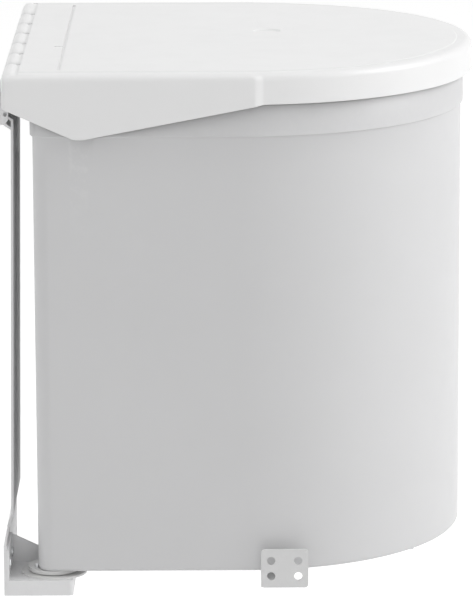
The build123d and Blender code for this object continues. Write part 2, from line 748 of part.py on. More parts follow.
# Swivel disc under the bin's floor, held by three countersunk screws
with BuildPart() as swivel_disc:
    with BuildSketch(floor):
        with Locations((pivot_x, pivot_y)):
            Circle(disc_r)
    extrude(amount=-disc_t)
    fillet(swivel_disc.edges().group_by(Axis.Z)[0], disc_edge_r)
    with BuildSketch(floor):
        with Locations((pivot_x, pivot_y)):
            Circle(lower_pin_r + pin_play)
            with PolarLocations(disc_hole_circle, 3, start_angle=90):
                Circle(screw_thread_r)
    extrude(amount=-disc_t, mode=Mode.SUBTRACT)
    with BuildSketch(floor.offset(-disc_t)):
        with Locations((pivot_x, pivot_y)):
            with PolarLocations(disc_hole_circle, 3, start_angle=90):
                Circle(screw_head_r)
    extrude(amount=screw_head_t, mode=Mode.SUBTRACT)
finish_piece(swivel_disc, "swivel_disc")

with BuildPart() as disc_screws:
    with BuildSketch(floor.offset(-disc_t)):
        with Locations((pivot_x, pivot_y)):
            with PolarLocations(disc_hole_circle, 3, start_angle=90):
                Circle(screw_head_r)
    extrude(amount=screw_head_t)
    with BuildSketch(floor.offset(-disc_t)):
        with Locations((pivot_x, pivot_y)):
            with PolarLocations(disc_hole_circle, 3, start_angle=90):
                Circle(screw_thread_r)
    extrude(amount=disc_t + bin_floor - skin)
finish_piece(disc_screws, "disc_screws")


def cam_height(angle):
    """Height of the cam's track where the follower stands after a swing of angle degrees."""
    lift = radians(lid_rate * min(max(angle, 0), swing))
    reach = pivot_x + follower_r - hinge_x
    drop = follower_tip_z - hinge_z
    return follower_tip_z + reach * sin(lift) + drop * (cos(lift) - 1) - cam_clearance


# Lift cam: a ring sector on the deck whose track climbs through the swing
with BuildPart() as lift_cam:
    for angle in cam_angles:
        turn = radians(angle)
        across = (cos(turn), sin(turn), 0)
        along = (sin(turn), -cos(turn), 0)
        foot = (pivot_x, pivot_y + mid_y, floor_z + deck_z)
        with BuildSketch(Plane(origin=foot, x_dir=across, z_dir=along)):
            with Locations((cam_in, 0)):
                Rectangle(cam_out - cam_in, cam_height(angle) - deck_z, align=(Align.MIN, Align.MIN))
    loft(ruled=True)
    with BuildSketch(floor.offset(deck_z)):
        with Locations(*cam_screw_spots):
            Circle(screw_thread_r)
    extrude(amount=cam_screw_bite, mode=Mode.SUBTRACT)
finish_piece(lift_cam, "lift_cam")

with BuildPart() as cam_screws:
    with BuildSketch(floor.offset(deck_z - deck_t)):
        with Locations(*cam_screw_spots):
            Circle(screw_head_r)
    extrude(amount=-screw_head_t)
    with BuildSketch(floor.offset(deck_z - deck_t)):
        with Locations(*cam_screw_spots):
            Circle(screw_thread_r)
    extrude(amount=deck_t + cam_screw_bite)
finish_piece(cam_screws, "cam_screws")

# Guide rail under the floor, with a screwed tab at each end
with BuildPart() as guide_rail:
    with BuildSketch(side.offset(rail_start)):
        with Locations((slider_y, 0)):
            Rectangle(2 * rail_half, rail_drop, align=(Align.CENTER, Align.MAX))
        with Locations((slider_y, -rail_wall)):
            Rectangle(2 * (rail_half - rail_wall), rail_drop - 2 * rail_wall,
                      align=(Align.CENTER, Align.MAX), mode=Mode.SUBTRACT)
        with Locations((slider_y, 0)):
            Rectangle(2 * rail_slot_half, rail_drop, align=(Align.CENTER, Align.MAX), mode=Mode.SUBTRACT)
        with Locations((slider_y, 0)):
            Rectangle(2 * rail_half, rail_wall, align=(Align.CENTER, Align.MAX))
    extrude(amount=rail_end - rail_start)
    with BuildSketch(floor):
        with Locations((rail_start - rail_tab, slider_y)):
            Rectangle(rail_end - rail_start + 2 * rail_tab, 2 * rail_half, align=(Align.MIN, Align.CENTER))
        fillet(vertices(), rail_tab_r)
        with Locations(*rail_screw_spots):
            Circle(screw_thread_r, mode=Mode.SUBTRACT)
    extrude(amount=-rail_wall)
finish_piece(guide_rail, "guide_rail")

with BuildPart() as rail_screws:
    with BuildSketch(floor.offset(-rail_wall)):
        with Locations(*rail_screw_spots):
            Circle(screw_head_r)
    extrude(amount=-screw_head_t)
    with BuildSketch(floor.offset(-rail_wall)):
        with Locations(*rail_screw_spots):
            Circle(screw_thread_r)
    extrude(amount=rail_wall + bin_floor - skin)
finish_piece(rail_screws, "rail_screws")

# Slider: a block captive in the rail, whose neck comes down through the slot
with BuildPart() as slider_block:
    with BuildSketch(floor.offset(-rail_wall - slide_play)):
        with Locations((slider_x, slider_y)):
            RectangleRounded(slider_length, 2 * (rail_half - rail_wall - slide_play), 1.5)
    extrude(amount=-(rail_drop - 2 * rail_wall - 2 * slide_play))
    with BuildSketch(floor.offset(-rail_wall - slide_play)):
        with Locations((slider_x, slider_y)):
            RectangleRounded(slider_length - 2, 2 * (rail_slot_half - slide_play), 1.5)
    extrude(amount=tongue_top_z + rail_wall + 2 * slide_play)
    with BuildSketch(floor.offset(tongue_top_z)):
        with Locations((slider_x, slider_y)):
            Circle(slider_rivet_r + pin_play)
    extrude(amount=-tongue_top_z, mode=Mode.SUBTRACT)
    with BuildSketch(floor.offset(-rail_wall - slide_play)):
        with Locations((slider_x, slider_y)):
            Circle(slider_rivet_head_r + slide_play)
    extrude(amount=-rivet_head_t - slide_play, mode=Mode.SUBTRACT)
finish_piece(slider_block, "slider_block")

with BuildPart() as slider_rivet:
    with BuildSketch(floor.offset(-rail_wall - slide_play - rivet_head_t)):
        with Locations((slider_x, slider_y)):
            Circle(slider_rivet_head_r)
    extrude(amount=rivet_head_t - slide_play)
    with BuildSketch(floor.offset(-rail_wall - slide_play - rivet_head_t)):
        with Locations((slider_x, slider_y)):
            Circle(slider_rivet_r)
    extrude(amount=tongue_top_z - sheet + rail_wall + slide_play + rivet_head_t)
    with BuildSketch(floor.offset(tongue_top_z - sheet)):
        with Locations((slider_x, slider_y)):
            Circle(slider_rivet_head_r)
    extrude(amount=-rivet_head_t)
finish_piece(slider_rivet, "slider_rivet")

# Door plate: four holes on the door's inner face and a tongue back to the slider
with BuildPart() as door_plate:
    with BuildSketch(front.offset(door_face)):
        with Locations((plate_x, plate_z)):
            RectangleRounded(plate_width, plate_height, plate_corner_r)
            with GridLocations(door_hole_span, door_hole_rise, 2, 2):
                Circle(door_hole_r, mode=Mode.SUBTRACT)
    extrude(amount=-sheet)
    with BuildSketch(floor.offset(tongue_top_z)):
        with Locations((slider_x, -door_face + sheet / 2)):
            Rectangle(tongue_width, slider_y + door_face - sheet / 2, align=(Align.CENTER, Align.MIN))
        with Locations((slider_x, slider_y)):
            Circle(tongue_width / 2)
            Circle(slider_rivet_r, mode=Mode.SUBTRACT)
    extrude(amount=-sheet)
finish_piece(door_plate, "door_plate")


def rivet_row(name, places, plane, grip, head, shank_r, head_r):
    """Make a group of rivets: shanks through the grip on plane, heads on the far face."""
    with BuildPart() as rivets:
        with BuildSketch(plane):
            with Locations(*places):
                Circle(shank_r)
        extrude(amount=grip)
        with BuildSketch(plane.offset(grip)):
            with Locations(*places):
                Circle(head_r)
        extrude(amount=head)
        rims = rivets.edges().filter_by(
            lambda edge: abs(plane.to_local_coords(edge.center()).Z - grip - head) < 0.01)
        fillet(rims, 0.6 * head)
    finish_piece(rivets, name)


rivet_row("frame_rivets", [(y, frame_rivet_z) for y in frame_rivet_y], side, 2 * sheet,
          rivet_head_t, rivet_r, rivet_head_r)
rivet_row("arm_rivets", [(y, frame_rivet_z) for y in arm_rivet_y], side, 2 * sheet + arm_t,
          rivet_head_t, rivet_r, rivet_head_r)
rivet_row("tray_rivets", tray_rivets, side, 2 * sheet, rivet_head_t, rivet_r, rivet_head_r)
rivet_row("hinge_rivets", strip_rivets, floor.offset(bracket_top_z - sheet), sheet + strip_t,
          rivet_head_t, rivet_r, rivet_head_r)
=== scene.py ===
import math

import bmesh
import bpy
from mathutils import Matrix, Vector


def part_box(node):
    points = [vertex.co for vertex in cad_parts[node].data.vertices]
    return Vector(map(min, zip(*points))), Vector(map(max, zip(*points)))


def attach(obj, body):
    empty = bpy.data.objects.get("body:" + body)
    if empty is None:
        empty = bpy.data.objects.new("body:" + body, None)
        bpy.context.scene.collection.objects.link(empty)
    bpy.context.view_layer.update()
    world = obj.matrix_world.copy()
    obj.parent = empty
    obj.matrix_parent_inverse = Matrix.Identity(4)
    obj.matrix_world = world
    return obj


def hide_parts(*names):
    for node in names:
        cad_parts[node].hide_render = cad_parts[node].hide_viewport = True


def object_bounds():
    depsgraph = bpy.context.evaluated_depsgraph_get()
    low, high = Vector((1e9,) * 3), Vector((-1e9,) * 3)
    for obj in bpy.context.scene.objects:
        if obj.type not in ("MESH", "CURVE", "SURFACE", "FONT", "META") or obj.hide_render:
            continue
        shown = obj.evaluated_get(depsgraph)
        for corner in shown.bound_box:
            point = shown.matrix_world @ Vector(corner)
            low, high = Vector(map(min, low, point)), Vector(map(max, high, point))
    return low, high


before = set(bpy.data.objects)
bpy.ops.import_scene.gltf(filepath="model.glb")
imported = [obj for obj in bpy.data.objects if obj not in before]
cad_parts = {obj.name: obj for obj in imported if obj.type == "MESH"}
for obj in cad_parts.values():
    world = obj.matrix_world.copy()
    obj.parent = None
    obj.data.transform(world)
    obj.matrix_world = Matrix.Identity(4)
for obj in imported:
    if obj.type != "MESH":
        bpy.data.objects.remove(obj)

cad_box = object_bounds()

# Outer bin
# The D-shaped shell that swings out with the cabinet door. White polypropylene, moulded in
# one piece with a collar round its mouth and, in the front corner, a deck and two bosses
# for the swivel.
bin_low, bin_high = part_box("bin_housing")
collar_out = 0.0015
collar_height = 0.0192
collar_fade = 0.0012  # height over which the collar runs out at the lid's points
sharp_angle = 38  # degrees between two faces from which their edge stays sharp
edge_band = 0.002
bin_wall = 0.0022
bin_floor = 0.0026
bin_corner = 0.009
least_corner = 0.002
foot_round = 0.0025
rim_gap = 0.0008
rim_round = 0.0009
bin_left = bin_low.x + collar_out
bin_half = (bin_high.y - bin_low.y) / 2 - collar_out
mid_y = (bin_low.y + bin_high.y) / 2
round_x = bin_high.x - collar_out - bin_half
floor_z = bin_low.z
rim_z = bin_high.z
collar_z = rim_z - collar_height

# The lid's lower edge, which the rim follows.
knuckle_proud = 0.0003
lid_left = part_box("lid_shell")[0].x + knuckle_proud
skirt_z = rim_z + rim_gap
point_z = skirt_z - 0.020
point_left_z = skirt_z - 0.0015
point_x = 0.0445
point_end_x = 0.050
panel_end_x = round_x + 0.0104


def arc(centre, radius, start, end, steps):
    """Points on an arc, with its angles in degrees."""
    points = []
    for i in range(steps + 1):
        turn = math.radians(start + (end - start) * i / steps)
        points.append((centre[0] + radius * math.cos(turn), centre[1] + radius * math.sin(turn)))
    return points


def between(start, end, steps):
    """Points spread between two points, without the two."""
    return [(start[0] + (end[0] - start[0]) * i / steps, start[1] + (end[1] - start[1]) * i / steps)
            for i in range(1, steps)]


def d_outline(left, half, corner):
    """The D round the bin: round end, far side, flat end at the wall, near side."""
    far, near = mid_y + half, mid_y - half
    points = arc((round_x, mid_y), half, -90, 90, 80)
    points += between((round_x, far), (left + corner, far), 50)
    points += arc((left + corner, far - corner), corner, 90, 180, 8)
    points += between((left, far - corner), (left, near + corner), 24)
    points += arc((left + corner, near + corner), corner, 180, 270, 8)
    points += between((left + corner, near), (round_x, near), 50)
    return points


def skirt_line(x):
    """Height of the lid's lower edge: it dips to a blunt point on the side panels."""
    if x < point_x:
        share = max(x - lid_left, 0) / (point_x - lid_left)
        return point_left_z + (point_z - point_left_z) * share
    if x < point_end_x:
        return point_z
    share = min((x - point_end_x) / (panel_end_x - point_end_x), 1)
    return point_z + (skirt_z - point_z) * share


def finish_mesh(name, shape, sharp=sharp_angle):
    """Turn a bmesh into a smooth-shaded object, with its sharp edges kept."""
    bmesh.ops.recalc_face_normals(shape, faces=shape.faces)
    mesh = bpy.data.meshes.new(name)
    shape.to_mesh(mesh)
    shape.free()
    mesh.shade_smooth()
    mesh.set_sharp_from_angle(angle=math.radians(sharp))
    piece = bpy.data.objects.new(name, mesh)
    bpy.context.scene.collection.objects.link(piece)
    return piece


def skin(shape, rings, capped=True):
    """Skin closed rings of points with quads, and cap the ends or join them to each other."""
    rows = [[shape.verts.new(point) for point in ring] for ring in rings]
    for low, high in zip(rows, rows[1:]):
        for i in range(len(low)):
            j = (i + 1) % len(low)
            shape.faces.new((low[i], low[j], high[j], high[i]))
    if capped:
        shape.faces.new(reversed(rows[0]))
        shape.faces.new(rows[-1])
    else:
        for i in range(len(rows[0])):
            j = (i + 1) % len(rows[0])
            shape.faces.new((rows[-1][i], rows[-1][j], rows[0][j], rows[0][i]))


def lathe(shape, centre, profile, steps=48):
    """Turn a closed profile of (radius, height) round an upright axis through centre."""
    rings = []
    for radius, height in profile:
        turns = [2 * math.pi * i / steps for i in range(steps)]
        rings.append([centre + Vector((radius * math.cos(t), radius * math.sin(t), height)) for t in turns])
    skin(shape, rings, capped=False)


def tube(inner, outer, low, high, edge):
    """Closed profile of a round tube with its outer edges rounded."""
    return [(inner, low), (outer - edge, low), (outer - 0.3 * edge, low + 0.3 * edge),
            (outer, low + edge), (outer, high - edge), (outer - 0.3 * edge, high - 0.3 * edge),
            (outer - edge, high), (inner, high)]


def bin_ring(grow, height, below_rim=False):
    """A ring of the bin. Near the blunt points the rim dips and the collar runs out."""
    ring = []
    for x, y in d_outline(bin_left - grow, bin_half + grow, max(bin_corner + grow, least_corner)):
        rim = skirt_line(x) - rim_gap
        z = rim + height if below_rim else min(floor_z + height, rim - rim_round)
        if grow > 0:
            fade = min(max((rim - collar_z) / collar_fade, 0), 1)
            if x < bin_left + edge_band:
                x += (1 - fade) * grow
            if abs(y - mid_y) > bin_half - edge_band:
                y += (1 - fade) * grow * (1 if y < mid_y else -1)
        ring.append((x, y, z))
    return ring


# Each ring is given by how far it stands out from the wall and by its height.
collar_low = collar_z - floor_z
outer = [(-foot_round - 0.0006, 0)]
outer += [(-foot_round * (1 - math.sin(a)), foot_round * (1 - math.cos(a)))
          for a in [math.radians(15 * i) for i in range(7)]]
outer += [(0, 0.06), (0, 0.12), (0, 0.18), (0, 0.24), (0, collar_low - 0.0004)]
outer += [(0.0002, collar_low), (0.0011, collar_low + 0.0002), (collar_out, collar_low + 0.0007)]
mouth = [(collar_out, -0.0007), (collar_out - 0.0003, -0.0002), (collar_out - 0.0007, 0),
         (-bin_wall + 0.0005, 0), (-bin_wall, -0.0005)]
inner = [(-bin_wall, 0.255), (-bin_wall, 0.2), (-bin_wall, 0.1), (-bin_wall, bin_floor + 0.002)]
inner += [(-bin_wall - 0.0006, bin_floor + 0.0006), (-bin_wall - 0.002, bin_floor),
          (-bin_wall - 0.003, bin_floor)]
shape = bmesh.new()
skin(shape, [bin_ring(grow, z) for grow, z in outer] + [bin_ring(grow, z, True) for grow, z in mouth]
     + [bin_ring(grow, z) for grow, z in inner])

# Bosses, stiffening web and deck, all round the swivel's axis.
pivot_in_x, pivot_in_y = 0.009, 0.017
pivot = Vector((bin_left + pivot_in_x, mid_y - bin_half + pivot_in_y, floor_z))
boss_r = 0.0085
boss_edge = 0.0006
upper_bore = 0.00595
lower_bore = 0.0056
deck_top = 0.256
deck_thick = 0.003
deck_leg = 0.056
deck_in = 0.0012
boss_low = deck_top - 0.015
boss_top = 0.2735
lower_boss_top = 0.012
lathe(shape, pivot, tube(upper_bore, boss_r, boss_low, boss_top, boss_edge))
lathe(shape, pivot, tube(lower_bore, boss_r, bin_floor - 0.0005, lower_boss_top, boss_edge))
bin_near = mid_y - bin_half
deck_edge = [(bin_left + deck_in, bin_near + deck_leg), (bin_left + deck_leg, bin_near + deck_in)]
deck_corner = arc((bin_left + bin_corner, bin_near + bin_corner), bin_corner - deck_in, 180, 270, 6)
deck_outline = [deck_edge[0]] + deck_corner + [deck_edge[1]]
web_half = 0.0011
web_top = deck_top - 0.0029  # just inside the deck's underside
web_near, web_far = bin_near + deck_in, pivot.y - 0.0075
skin(shape, [[(pivot.x + side * web_half, y, floor_z + z) for side, y in
              ((-1, web_near), (1, web_near), (1, web_far), (-1, web_far))]
             for z in (boss_low, web_top)])


def deck_ray(turn):
    """Distance from the pivot to the deck's outline in one direction."""
    way = Vector((math.cos(turn), math.sin(turn)))
    reach = []
    for (ax, ay), (bx, by) in zip(deck_outline, deck_outline[1:] + deck_outline[:1]):
        side = Vector((bx - ax, by - ay))
        start = Vector((ax - pivot.x, ay - pivot.y))
        slope = way.x * side.y - way.y * side.x
        if abs(slope) > 1e-9:
            along = (start.x * side.y - start.y * side.x) / slope
            across = (start.x * way.y - start.y * way.x) / slope
            if along > 0 and -1e-6 <= across <= 1 + 1e-6:
                reach.append(along)
    return min(reach)


turns = sorted([2 * math.pi * i / 48 for i in range(48)]
               + [math.atan2(y - pivot.y, x - pivot.x) % (2 * math.pi) for x, y in deck_edge])
rings = []
deck_low = deck_top - deck_thick
for bored, z in ((False, deck_low), (False, deck_top), (True, deck_top), (True, deck_low)):
    reach = [upper_bore if bored else deck_ray(turn) for turn in turns]
    rings.append([(pivot.x + math.cos(turn) * r, pivot.y + math.sin(turn) * r, floor_z + z)
                  for turn, r in zip(turns, reach)])
skin(shape, rings, capped=False)
outer_bin = finish_mesh("outer_bin", shape)


def socket(group, name, kind, way, value=None):
    """Add a named input or output to a shader node group."""
    made = group.interface.new_socket(name=name, in_out=way, socket_type="NodeSocket" + kind)
    if value is not None:
        made.default_value = value


def add_node(tree, kind, place, **values):
    """Add a shader node at a place in the editor, with the given settings."""
    node = tree.nodes.new(kind if kind.startswith("Node") else "ShaderNode" + kind)
    node.location = place
    for name, value in values.items():
        setattr(node, name, value)
    return node


def noise(tree, place, scale, detail, rough=0.5):
    """Add a noise texture read in metres over the piece."""
    node = add_node(tree, "TexNoise", place)
    node.inputs["Scale"].default_value = scale
    node.inputs["Detail"].default_value = detail
    node.inputs["Roughness"].default_value = rough
    return node


def ramp(tree, place, source, start, end, low=0.0, high=1.0):
    """Add a node that maps a value from one range to another."""
    node = add_node(tree, "MapRange", place)
    for name, value in (("From Min", start), ("From Max", end), ("To Min", low), ("To Max", high)):
        node.inputs[name].default_value = value
    tree.links.new(source, node.inputs["Value"])
    return node


def tint(tree, given, factor, result):
    """Scale a group's colour by a factor and put it out."""
    shade = add_node(tree, "VectorMath", (-100, 200), operation="SCALE")
    tree.links.new(given.outputs["Colour"], shade.inputs[0])
    tree.links.new(factor, shade.inputs["Scale"])
    tree.links.new(shade.outputs[0], result.inputs["Colour"])


# The skin of moulded plastic: cloudy flow tone, fine spark-eroded grain, faint scuffs.
moulded_skin = bpy.data.node_groups.new("moulded_skin", "ShaderNodeTree")
socket(moulded_skin, "Colour", "Color", "INPUT", (0.8, 0.8, 0.8, 1))
socket(moulded_skin, "Shade Spread", "Float", "INPUT", 0.02)
socket(moulded_skin, "Roughness", "Float", "INPUT", 0.35)
socket(moulded_skin, "Grain Size", "Float", "INPUT", 2600.0)
socket(moulded_skin, "Colour", "Color", "OUTPUT")
socket(moulded_skin, "Roughness", "Float", "OUTPUT")
socket(moulded_skin, "Height", "Float", "OUTPUT")
tree = moulded_skin
given = add_node(tree, "NodeGroupInput", (-900, 0))
result = add_node(tree, "NodeGroupOutput", (700, 0))
place = add_node(tree, "TexCoord", (-900, -300))
cloud = noise(tree, (-650, 200), 14.0, 3.0)
grain = noise(tree, (-650, -100), 2600.0, 2.0)
scuff = noise(tree, (-650, -400), 55.0, 6.0, 0.7)
for texture in (cloud, grain, scuff):
    tree.links.new(place.outputs["Object"], texture.inputs["Vector"])
tree.links.new(given.outputs["Grain Size"], grain.inputs["Scale"])
less = add_node(tree, "Math", (-600, 400), operation="SUBTRACT")
less.inputs[0].default_value = 1.0
tree.links.new(given.outputs["Shade Spread"], less.inputs[1])
tone = ramp(tree, (-400, 200), cloud.outputs["Fac"], 0.3, 0.7, 1.0)
tree.links.new(less.outputs[0], tone.inputs["To Max"])
tint(tree, given, tone.outputs["Result"], result)
rub_and_highlight = ramp(tree, (-400, -400), scuff.outputs["Fac"], 0.45, 0.75, 0.0, 0.1)
gloss = add_node(tree, "Math", (-100, -200), operation="ADD")
tree.links.new(given.outputs["Roughness"], gloss.inputs[0])
tree.links.new(rub_and_highlight.outputs["Result"], gloss.inputs[1])
tree.links.new(gloss.outputs[0], result.inputs["Roughness"])
height = add_node(tree, "Math", (-100, -500), operation="MULTIPLY_ADD")
height.inputs[1].default_value = 0.6
tree.links.new(grain.outputs["Fac"], height.inputs[0])
tree.links.new(scuff.outputs["Fac"], height.inputs[2])
tree.links.new(height.outputs[0], result.inputs["Height"])

# Painted highlight and wear on edges: a broken mask along the convex edges of a piece. On the plastics it
# paints those edges lighter, as a highlight; on the powder coat it paints them greyer, as thin coat.
edge_wear_and_highlight = bpy.data.node_groups.new("edge_wear_and_highlight", "ShaderNodeTree")
socket(edge_wear_and_highlight, "Amount", "Float", "INPUT", 0.5)
socket(edge_wear_and_highlight, "Mask", "Float", "OUTPUT")
tree = edge_wear_and_highlight
given = add_node(tree, "NodeGroupInput", (-700, 0))
result = add_node(tree, "NodeGroupOutput", (500, 0))
place = add_node(tree, "TexCoord", (-700, -300))
bend = add_node(tree, "NewGeometry", (-700, 200))
edge = ramp(tree, (-450, 200), bend.outputs["Pointiness"], 0.53, 0.62)
patch = noise(tree, (-450, -200), 220.0, 5.0, 0.65)
tree.links.new(place.outputs["Object"], patch.inputs["Vector"])
broken = ramp(tree, (-200, -200), patch.outputs["Fac"], 0.45, 0.6)
both = add_node(tree, "Math", (0, 0), operation="MULTIPLY")
tree.links.new(edge.outputs["Result"], both.inputs[0])
tree.links.new(broken.outputs["Result"], both.inputs[1])
part = add_node(tree, "Math", (200, 0), operation="MULTIPLY")
tree.links.new(both.outputs[0], part.inputs[0])
tree.links.new(given.outputs["Amount"], part.inputs[1])
tree.links.new(part.outputs[0], result.inputs["Mask"])


def bumped(tree, height, strength, depth, surface):
    """Turn a height into a bumped normal on a material's surface."""
    relief = add_node(tree, "Bump", (-350, -250))
    relief.inputs["Strength"].default_value = strength
    relief.inputs["Distance"].default_value = depth
    tree.links.new(height, relief.inputs["Height"])
    tree.links.new(relief.outputs["Normal"], surface.inputs["Normal"])


def skinned(name, skin_group, values, rub_and_highlight, rub_and_highlight_colour, bump, depth):
    """A material from one of the skin groups, with its convex edges painted in another colour: lighter as a
    painted highlight on the plastics, greyer as wear on the coat.
    """
    material = bpy.data.materials.new(name)
    material.use_nodes = True
    tree = material.node_tree
    surface = tree.nodes["Principled BSDF"]
    made = add_node(tree, "Group", (-700, 200), node_tree=skin_group)
    for socket_name, value in values.items():
        made.inputs[socket_name].default_value = value
    edge_highlight_and_wear = add_node(tree, "Group", (-700, -100), node_tree=edge_wear_and_highlight)
    edge_highlight_and_wear.inputs["Amount"].default_value = rub_and_highlight
    # Blend in the edge colour along the mask: a painted highlight on the plastics, thin-coat wear on the
    # coat.
    mix = add_node(tree, "MixRGB", (-350, 250))
    mix.inputs["Color2"].default_value = (*rub_and_highlight_colour, 1)
    tree.links.new(edge_highlight_and_wear.outputs["Mask"], mix.inputs["Fac"])
    tree.links.new(made.outputs["Colour"], mix.inputs["Color1"])
    tree.links.new(mix.outputs["Color"], surface.inputs["Base Color"])
    tree.links.new(made.outputs["Roughness"], surface.inputs["Roughness"])
    bumped(tree, made.outputs["Height"], bump, depth, surface)
    return material


def plastic(name, colour, spread, roughness, grain_size, bump, rub_and_highlight, rub_and_highlight_colour):
    """A moulded plastic: its tone, gloss and grain, and its convex edges painted lighter as a highlight."""
    values = {"Colour": (*colour, 1), "Shade Spread": spread, "Roughness": roughness,
              "Grain Size": grain_size}
    return skinned(name, moulded_skin, values, rub_and_highlight, rub_and_highlight_colour, bump, 0.0001)


# The last two values of each plastic paint its convex edges lighter, as a highlight.
bin_plastic = plastic("bin_plastic", (0.62, 0.62, 0.625), 0.015, 0.38, 2400.0, 0.35,
                      0.35, (0.70, 0.70, 0.70))
outer_bin.data.materials.append(bin_plastic)
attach(outer_bin, "bin")
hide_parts("bin_housing")

# Inner bucket
# The liner that holds the waste and lifts out: thin white plastic, tapered so that it
# releases, with a thick rolled lip and its front corner cut off to clear the swivel.
bucket_low, bucket_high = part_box("inner_bucket")
bucket_wall = 0.0018
bucket_floor = 0.002
bucket_draft = 0.004
bucket_play = 0.003
bucket_corner = 0.014
bucket_least = 0.004
bucket_leg = 0.060
lip_out = 0.0014
lip_height = 0.003
bucket_half = bin_half - bin_wall - bucket_play
bucket_left = bin_left + bin_wall + bucket_play


def bucket_ring(grow, z):
    """A ring of the bucket: the D with its near corner at the wall cut off."""
    left, half = bucket_left - grow, bucket_half + grow
    far, near = mid_y + half, mid_y - half
    cut_x = bin_left + bucket_leg - (bin_half - half)
    cut_y = mid_y - bin_half + bucket_leg - (left - bin_left)
    r = max(bucket_corner + grow, bucket_least)
    slip = r * math.tan(math.radians(22.5))
    slant = r * math.sin(math.radians(45))
    points = arc((round_x, mid_y), half, -90, 90, 80)
    points += between((round_x, far), (left + r, far), 24)
    points += arc((left + r, far - r), r, 90, 180, 8)
    points += between((left, far - r), (left, cut_y + slip), 24)
    points += arc((left + r, cut_y + slip), r, 180, 225, 5)
    points += between(points[-1], (cut_x + slip - slant, near + r - slant), 10)
    points += arc((cut_x + slip, near + r), r, 225, 270, 5)
    points += between((cut_x + slip, near), (round_x, near), 24)
    return [(x, y, z) for x, y in points]


foot = bucket_low.z
top = bucket_high.z
middle = (foot + top) / 2
inside = -bucket_draft - bucket_wall
lip_low = top - lip_height
rows = [(-bucket_draft - 0.006, foot), (-bucket_draft - 0.004, foot),
        (-bucket_draft - 0.0012, foot + 0.0012), (-bucket_draft, foot + 0.004),
        (-bucket_draft / 2, middle), (0, lip_low - 0.0004),
        (lip_out * 0.7, lip_low), (lip_out, lip_low + 0.0006), (lip_out, top - 0.0012),
        (lip_out * 0.6, top - 0.0003), (0, top), (-bucket_wall * 0.6, top - 0.0003),
        (-bucket_wall, top - 0.0012), (-bucket_draft / 2 - bucket_wall, middle),
        (inside, foot + bucket_floor + 0.004), (inside - 0.0012, foot + bucket_floor + 0.0012),
        (inside - 0.004, foot + bucket_floor), (inside - 0.006, foot + bucket_floor)]
shape = bmesh.new()
skin(shape, [bucket_ring(grow, z) for grow, z in rows])
bucket = finish_mesh("inner_bucket_liner", shape)
bucket.data.materials.append(plastic("bucket_plastic", (0.60, 0.61, 0.615), 0.03, 0.32, 1800.0, 0.3,
                                     0.3, (0.68, 0.68, 0.68)))
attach(bucket, "bin")
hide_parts("inner_bucket")

# Lid
# A shallow cover moulded in bright white plastic. Its flat top has a border, a closing line
# near the hinge and a round sink mark. Two flat side panels hang down to a blunt point, and
# seven knuckles along the wall edge take the hinge rod.
lid_top = skirt_z + 0.0186
lid_wall = 0.0024
lid_overhang = 0.0066
lid_corner = 0.0025
lid_edge = 0.004
panel_proud = 0.002
panel_round = 0.0065
field_in = 0.009
field_step = 0.0004
lid_under = lid_top - lid_wall
knuckle_count = 7
knuckle_r = 0.0048
knuckle_pitch = 0.0376
knuckle_gap = 0.0038
rod_x = lid_left + 0.0045
rod_z = lid_top - 0.0044
knuckle_end = rod_x + knuckle_r + 0.0005
panel_in_y = bin_half + lid_overhang + panel_proud - lid_wall


def lid_ring(inset, height, from_skirt=False, flush=False):
    """A ring of the lid, inset from its outside. flush leaves out the panels' step."""
    r = bin_half + lid_overhang - inset
    side = r if flush else r + panel_proud
    end = panel_end_x - inset
    left = rod_x if flush else lid_left + inset
    corner = max(lid_corner - inset, 0.0003)
    y_end = math.sqrt(r * r - (end - round_x) ** 2)
    turn = math.degrees(math.atan2(y_end, end - round_x))
    near = [(end - panel_round * (1 - t), -(y_end + (side - y_end) * fall))
            for t, fall in ((0, 1), (0.12, 0.98), (0.25, 0.91), (0.4, 0.74), (0.55, 0.54), (0.7, 0.34),
                            (0.85, 0.14))]
    points = arc((round_x, 0), r, -turn, turn, 80)
    points += [(x, -y) for x, y in reversed(near)]
    points += between((end - panel_round, side), (left + corner, side), 60)
    points += arc((left + corner, side - corner), corner, 90, 180, 5)
    points += between((left, side - corner), (left, corner - side), 12)
    points += arc((left + corner, corner - side), corner, 180, 270, 5)
    points += between((left + corner, -side), (end - panel_round, -side), 60)
    points += near
    return [(x, mid_y + y, (skirt_line(x) if from_skirt else lid_top) + height) for x, y in points]


quarter = [math.radians(15 * i) for i in range(7)]
brow = -field_step - lid_edge
rings = [lid_ring(lid_wall + 0.003, -lid_wall), lid_ring(lid_wall + 0.0015, -lid_wall),
         lid_ring(lid_wall + 0.0004, -lid_wall - 0.0004), lid_ring(lid_wall, -lid_wall - 0.0015),
         lid_ring(lid_wall, 0.0005, True), lid_ring(lid_wall - 0.0005, 0, True),
         lid_ring(0.0005, 0, True), lid_ring(0.00015, 0.00015, True), lid_ring(0, 0.0005, True),
         lid_ring(0, brow - 0.0005)]
rings += [lid_ring(lid_edge * (1 - math.cos(a)), brow + lid_edge * math.sin(a)) for a in quarter]
rings += [lid_ring(lid_edge + 0.0006, -field_step), lid_ring(field_in - 0.0004, -field_step, flush=True),
          lid_ring(field_in - 0.0001, -0.85 * field_step, flush=True),
          lid_ring(field_in + 0.0002, -0.15 * field_step, flush=True),
          lid_ring(field_in + 0.0005, 0, flush=True), lid_ring(field_in + 0.0025, 0, flush=True)]
shape = bmesh.new()
skin(shape, rings)
lid = finish_mesh("lid_cover", shape)


def block(name, low, high):
    """A plain closed block between two corners, used as a cutter."""
    shape = bmesh.new()
    bmesh.ops.create_cube(shape, size=1)
    for vert in shape.verts:
        vert.co = Vector((low[i] if vert.co[i] < 0 else high[i]) for i in range(3))
    return finish_mesh(name, shape)


